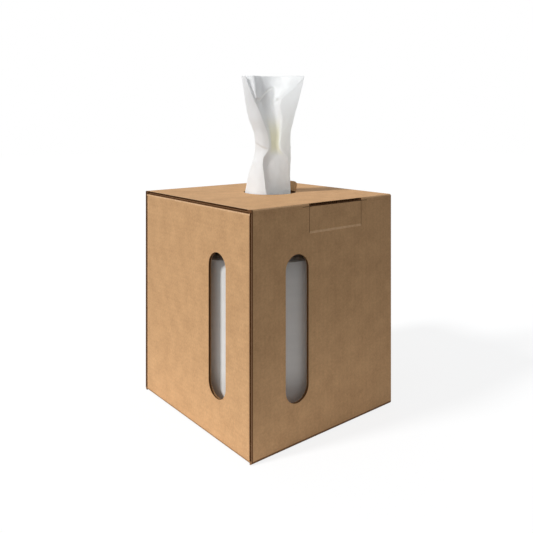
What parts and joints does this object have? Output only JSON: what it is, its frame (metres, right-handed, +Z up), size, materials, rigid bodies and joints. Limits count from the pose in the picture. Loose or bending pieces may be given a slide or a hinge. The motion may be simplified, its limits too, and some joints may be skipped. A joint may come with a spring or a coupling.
{
  "type": "center-pull wipes box",
  "caption": "Folded kraft carton with a hinged lid, push-in tab and two tall windows, holding a centre-pull roll of dry wipes drawn up through a hole in the lid.",
  "frame": {"origin": "on the ground under the middle of the carton's footprint", "axes": "+Z up, -Y towards the front wall with the tab, -X towards the side wall with the window"},
  "size_m": [0.224, 0.234, 0.4193],
  "materials": {
    "kraft_board": "matt kraft liner with fine fibre mottling, raw edges open to the fluting",
    "rolled_wipes": "matt off-white nonwoven, wound turn on turn",
    "wipe_cloth": "soft white nonwoven, gathered and pleated"
  },
  "bodies": {
    "box": {"carton": "kraft_board", "wipe_roll": "rolled_wipes", "wipe_feed": "wipe_cloth"},
    "top": {"lid": "kraft_board", "wipe_tail": "wipe_cloth"},
    "tab": {"lock_tab": "kraft_board"}
  },
  "joints": [
    {"name": "lid_fold", "type": "hinge", "parent": "box", "child": "top", "pos_m": [0, -0.117, 0.267], "axis": [1, 0, 0], "range_deg": [0, 180]},
    {"name": "tab_crease", "type": "hinge", "parent": "box", "child": "tab", "pos_m": [0.013, -0.1136, 0.234], "axis": [-1, 0, 0], "range_deg": [0, 25]}
  ]
}
